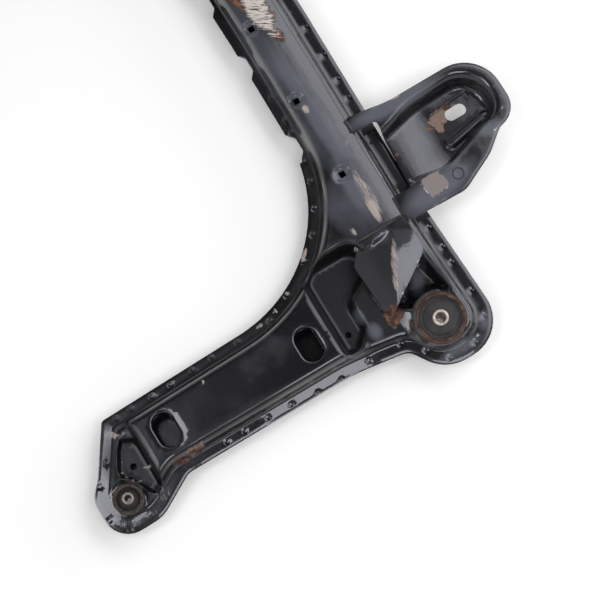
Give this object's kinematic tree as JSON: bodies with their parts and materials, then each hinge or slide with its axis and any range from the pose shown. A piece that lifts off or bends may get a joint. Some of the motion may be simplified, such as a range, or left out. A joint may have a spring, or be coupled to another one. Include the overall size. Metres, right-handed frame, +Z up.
{
  "type": "drivetrain subframe",
  "caption": "U-shaped pressed-steel subframe: a box-section crossmember, an arm at each end, dished mount trays, gusset plates and rubber bushes.",
  "frame": {"origin": "bottom centre of the bounding box, on the floor under the four bush cores", "axes": "+X along the crossmember, +Y from the arms towards the trays, +Z up from the bush cores' lower ends"},
  "size_m": [1.01, 0.7162, 0.0622],
  "materials": {
    "upper_shell": "glossy black dip paint, worn and rusted in places",
    "lower_shell": "glossy black dip paint, worn and rusted in places",
    "mount_tray_right": "glossy black dip paint, worn and rusted in places",
    "gusset_plate_right": "glossy black dip paint, worn and rusted in places",
    "corner_bush_housing_right": "black paint with brown rust",
    "corner_bush_sleeve_right": "bare steel with brown rust",
    "corner_bush_rubber_right": "matt moulded rubber",
    "corner_bush_core_right": "turned steel with light rust",
    "end_bush_housing_right": "black paint with brown rust",
    "end_bush_sleeve_right": "bare steel with brown rust",
    "end_bush_rubber_right": "matt moulded rubber",
    "end_bush_core_right": "turned steel with light rust",
    "mount_tray_left": "glossy black dip paint, worn and rusted in places",
    "gusset_plate_left": "glossy black dip paint, worn and rusted in places",
    "corner_bush_housing_left": "black paint with brown rust",
    "corner_bush_sleeve_left": "bare steel with brown rust",
    "corner_bush_rubber_left": "matt moulded rubber",
    "corner_bush_core_left": "turned steel with light rust",
    "end_bush_housing_left": "black paint with brown rust",
    "end_bush_sleeve_left": "bare steel with brown rust",
    "end_bush_rubber_left": "matt moulded rubber",
    "end_bush_core_left": "turned steel with light rust"
  },
  "bodies": {
    "root": {"upper_shell": "upper_shell", "lower_shell": "lower_shell", "mount_tray_right": "mount_tray_right", "gusset_plate_right": "gusset_plate_right", "corner_bush_housing_right": "corner_bush_housing_right", "corner_bush_sleeve_right": "corner_bush_sleeve_right", "corner_bush_rubber_right": "corner_bush_rubber_right", "corner_bush_core_right": "corner_bush_core_right", "end_bush_housing_right": "end_bush_housing_right", "end_bush_sleeve_right": "end_bush_sleeve_right", "end_bush_rubber_right": "end_bush_rubber_right", "end_bush_core_right": "end_bush_core_right", "mount_tray_left": "mount_tray_left", "gusset_plate_left": "gusset_plate_left", "corner_bush_housing_left": "corner_bush_housing_left", "corner_bush_sleeve_left": "corner_bush_sleeve_left", "corner_bush_rubber_left": "corner_bush_rubber_left", "corner_bush_core_left": "corner_bush_core_left", "end_bush_housing_left": "end_bush_housing_left", "end_bush_sleeve_left": "end_bush_sleeve_left", "end_bush_rubber_left": "end_bush_rubber_left", "end_bush_core_left": "end_bush_core_left"}
  },
  "joints": []
}
